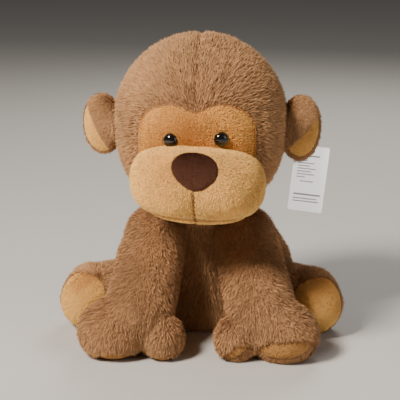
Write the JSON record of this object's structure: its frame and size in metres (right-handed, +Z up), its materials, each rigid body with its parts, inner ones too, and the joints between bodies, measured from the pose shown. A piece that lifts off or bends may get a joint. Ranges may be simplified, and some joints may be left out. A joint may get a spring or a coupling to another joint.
{
  "type": "sitting plush monkey",
  "caption": "Sitting stuffed monkey of long brown plush with a round head, tan face and muzzle, cupped ears, thick arms to the floor, pale soles, and a swing tag on one ear.",
  "frame": {"origin": "middle of the flat underside of the seat, on the surface the toy sits on", "axes": "+Z up; the toy faces -Y; +X is the toy's own left"},
  "size_m": [0.3, 0.3098, 0.3115],
  "materials": {
    "brown_plush": "taupe brown plush, dense soft pile about 8 mm long",
    "face_plush": "golden tan short plush, pile about 3 mm",
    "muzzle_plush": "light cream tan short plush, pile about 3 mm",
    "sole_plush": "pale cream short plush, pile about 2 mm",
    "palm_plush": "tan short plush, pile about 2 mm",
    "nose_velvet": "dark red-brown velvet",
    "stitch_thread": "brown cotton thread",
    "polyester_filling": "white polyester fibre filling",
    "eye_plastic": "black, highly polished",
    "washer_plastic": "white locking washer",
    "tag_board": "white card with plain grey bars",
    "loop_nylon": "black moulded nylon loop"
  },
  "bodies": {
    "torso": {"torso_skin": "brown_plush", "torso_filling": "polyester_filling"},
    "neck": {"neck_skin": "brown_plush", "neck_filling": "polyester_filling"},
    "head": {"head_skin": "brown_plush", "head_filling": "polyester_filling", "face_patch": "face_plush", "muzzle_skin": "muzzle_plush", "muzzle_filling": "polyester_filling", "nose_patch": "nose_velvet", "mouth_stitch": "stitch_thread", "eye_left": "eye_plastic", "eye_right": "eye_plastic", "eye_washer_left": "washer_plastic", "eye_washer_right": "washer_plastic"},
    "tail": {"tail_skin": "brown_plush", "tail_filling": "polyester_filling"},
    "tag": {"tag_card": "tag_board"},
    "arm_left": {"arm_skin_left": "brown_plush", "palm_patch_left": "palm_plush", "arm_filling_left": "polyester_filling"},
    "leg_left": {"leg_skin_left": "brown_plush", "sole_patch_left": "sole_plush", "leg_filling_left": "polyester_filling"},
    "ear_left": {"ear_back_left": "brown_plush", "ear_lining_left": "sole_plush", "tag_loop": "loop_nylon"},
    "arm_right": {"arm_skin_right": "brown_plush", "palm_patch_right": "palm_plush", "arm_filling_right": "polyester_filling"},
    "leg_right": {"leg_skin_right": "brown_plush", "sole_patch_right": "sole_plush", "leg_filling_right": "polyester_filling"},
    "ear_right": {"ear_back_right": "brown_plush", "ear_lining_right": "sole_plush"}
  },
  "joints": [
    {"name": "head_turn", "type": "hinge", "parent": "torso", "child": "neck", "pos_m": [0, -0.006, 0.118], "axis": [0, 0, 1], "range_deg": [-30, 30], "stiffness_Nm_per_rad": 1.5},
    {"name": "head_nod", "type": "hinge", "parent": "neck", "child": "head", "pos_m": [0, -0.006, 0.118], "axis": [-1, 0, 0], "range_deg": [-8, 15], "stiffness_Nm_per_rad": 3},
    {"name": "shoulder_left", "type": "hinge", "parent": "torso", "child": "arm_left", "pos_m": [0.046, -0.028, 0.106], "axis": [-1, 0, 0], "range_deg": [0, 38], "stiffness_Nm_per_rad": 1},
    {"name": "shoulder_right", "type": "hinge", "parent": "torso", "child": "arm_right", "pos_m": [-0.046, -0.028, 0.106], "axis": [-1, 0, 0], "range_deg": [0, 38], "stiffness_Nm_per_rad": 1},
    {"name": "hip_left", "type": "hinge", "parent": "torso", "child": "leg_left", "pos_m": [0.092, 0.024, 0.033], "axis": [0, 0, 1], "range_deg": [0, 30], "stiffness_Nm_per_rad": 1},
    {"name": "hip_right", "type": "hinge", "parent": "torso", "child": "leg_right", "pos_m": [-0.092, 0.024, 0.033], "axis": [0, 0, -1], "range_deg": [0, 30], "stiffness_Nm_per_rad": 1},
    {"name": "ear_left_fold", "type": "hinge", "parent": "head", "child": "ear_left", "pos_m": [0.0845, -0.02, 0.222], "axis": [0, 0, -1], "range_deg": [-15, 30], "stiffness_Nm_per_rad": 0.05},
    {"name": "ear_right_fold", "type": "hinge", "parent": "head", "child": "ear_right", "pos_m": [-0.0845, -0.02, 0.222], "axis": [0, 0, 1], "range_deg": [-15, 30], "stiffness_Nm_per_rad": 0.05},
    {"name": "tail_swing", "type": "hinge", "parent": "torso", "child": "tail", "pos_m": [0, 0.095, 0.01], "axis": [0, 0, 1], "range_deg": [-15, 15], "stiffness_Nm_per_rad": 0.3},
    {"name": "tag_swing", "type": "hinge", "parent": "ear_left", "child": "tag", "pos_m": [0.115, -0.0045, 0.1925], "axis": [0, -1, 0], "range_deg": [-25, 25]}
  ]
}
